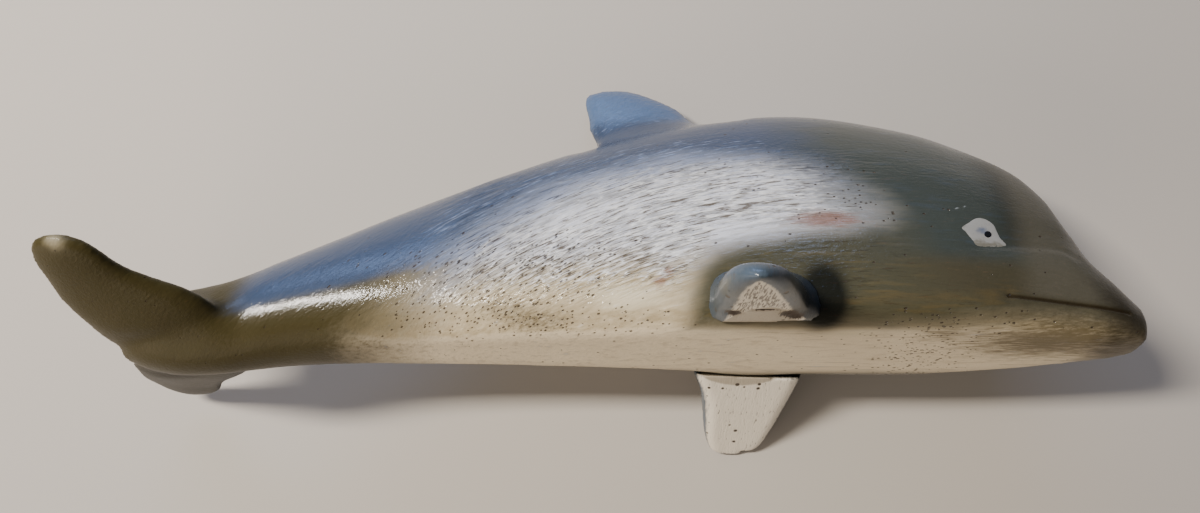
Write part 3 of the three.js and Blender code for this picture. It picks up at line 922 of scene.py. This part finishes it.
def paintFilm(name, outline, middle, side, thickness, surfaceTree):
    # a thin closed-in film of paint that follows the body and sinks into it at its outline
    rings = eye["rings"]
    points = []
    for ring in range(rings + 1):
        share = ring / rings
        for place, height in outline:
            x = middle[0] + (place - middle[0]) * share
            z = middle[1] + (height - middle[1]) * share
            start = layDown @ (Vector((x, side * eye["outside"], z)) * mm)
            ahead = layDown.to_3x3() @ Vector((0, -side, 0))
            hit, normal, _, _ = surfaceTree.ray_cast(start, ahead)
            lift = (thickness * (1 - share ** eye["edgePower"]) - eye["sunk"]) * mm
            points.append(hit + normal * lift)
    count = len(outline)
    faces = []
    for ring in range(rings):
        for step in range(count):
            ahead = (step + 1) % count
            inner = ring * count
            outer = inner + count
            corners = [inner + step, outer + step, outer + ahead, inner + ahead]
            faces.append(corners if side > 0 else corners[::-1])
    mesh = bpy.data.meshes.new(name)
    mesh.from_pydata(points, [], faces)
    work = bmesh.new()
    work.from_mesh(mesh)
    bmesh.ops.remove_doubles(work, verts=work.verts, dist=1e-6)
    bmesh.ops.recalc_face_normals(work, faces=work.faces)
    outward = layDown.to_3x3() @ Vector((0, side, 0))
    if sum(face.normal.dot(outward) for face in work.faces) < 0:
        bmesh.ops.reverse_faces(work, faces=work.faces)
    work.to_mesh(mesh)
    work.free()
    mesh.shade_smooth()
    piece = bpy.data.objects.new(name, mesh)
    bpy.context.collection.objects.link(piece)
    return piece


def roundedOutline(corners, steps):
    # a smooth curve through the corners
    outline = []
    count = len(corners)
    for i in range(count):
        p0, p1, p2, p3 = (Vector(corners[(i + k) % count]) for k in (-1, 0, 1, 2))
        for step in range(steps):
            t = step / steps
            outline.append(tuple(
                0.5 * (2 * p1 + (p2 - p0) * t + (2 * p0 - 5 * p1 + 4 * p2 - p3) * t ** 2
                       + (3 * p1 - p0 - 3 * p2 + p3) * t ** 3)
            ))
    return outline


def makeEyes(bodyPiece):
    # thick white brushed on by hand, grey where the brush dragged the pupil
    white, tree, surface = startMaterial("thick white eye paint")
    marks = brushMarks(tree, carvingCoordinates(tree), eye["marks"])
    colour = brushCoats(tree, eye["white"], eye["coats"], marks)
    tree.links.new(colour, surface.inputs["Base Color"])
    surface.inputs["Roughness"].default_value = eye["whiteRoughness"]
    surface.inputs["Coat Weight"].default_value = eye["whiteCoat"]
    surface.inputs["Coat Roughness"].default_value = eye["whiteCoatRoughness"]
    black, _, surface = startMaterial("black eye paint")  # a dot of gloss enamel
    surface.inputs["Base Color"].default_value = linearColour(eye["black"])
    surface.inputs["Roughness"].default_value = eye["blackRoughness"]
    tree = BVHTree.FromObject(bodyPiece, bpy.context.evaluated_depsgraph_get())
    leaf = roundedOutline(eye["outline"], eye["outlineSteps"])
    dot = []
    for step in range(eye["pupilSteps"]):
        angle = 2 * math.pi * step / eye["pupilSteps"]
        radius = eye["pupilRadius"] * (1 + eye["pupilUneven"] * math.sin(2 * angle + 0.6))
        dot.append((eye["pupil"][0] + radius * math.cos(angle), eye["pupil"][1] + radius * math.sin(angle)))
    for name, side in (("right", -1), ("left", 1)):
        patch = paintFilm(name + "_eye_white", leaf, eye["middle"], side, eye["paintThickness"], tree)
        x, _, z = uprightPoints(patch.data).T
        place, height, along, up = eye["dragged"]
        addMask(patch.data, "dragged", bump(np.hypot((x - place) / along, (z - height) / up), 0, 1))
        addMask(patch.data, "thin", smoothStep(28.5, 25, z) + 0.5 * smoothStep(279.5, 277, x))
        finishPiece(patch, white, "body_paint")
        pupil = paintFilm(name + "_eye_pupil", dot, eye["pupil"], side, eye["pupilThickness"], tree)
        finishPiece(pupil, black, "body_paint")
    print("eyes placed")


addCamera()
addStudio()
bodyPiece = makeBody(makeBodyPaint())
paintOnFlippers = makeFlipperPaint()
for side in ("left", "right"):
    makeFlipper(side, paintOnFlippers)
bpy.context.view_layer.update()
makeEyes(bodyPiece)

bpy.context.view_layer.update()
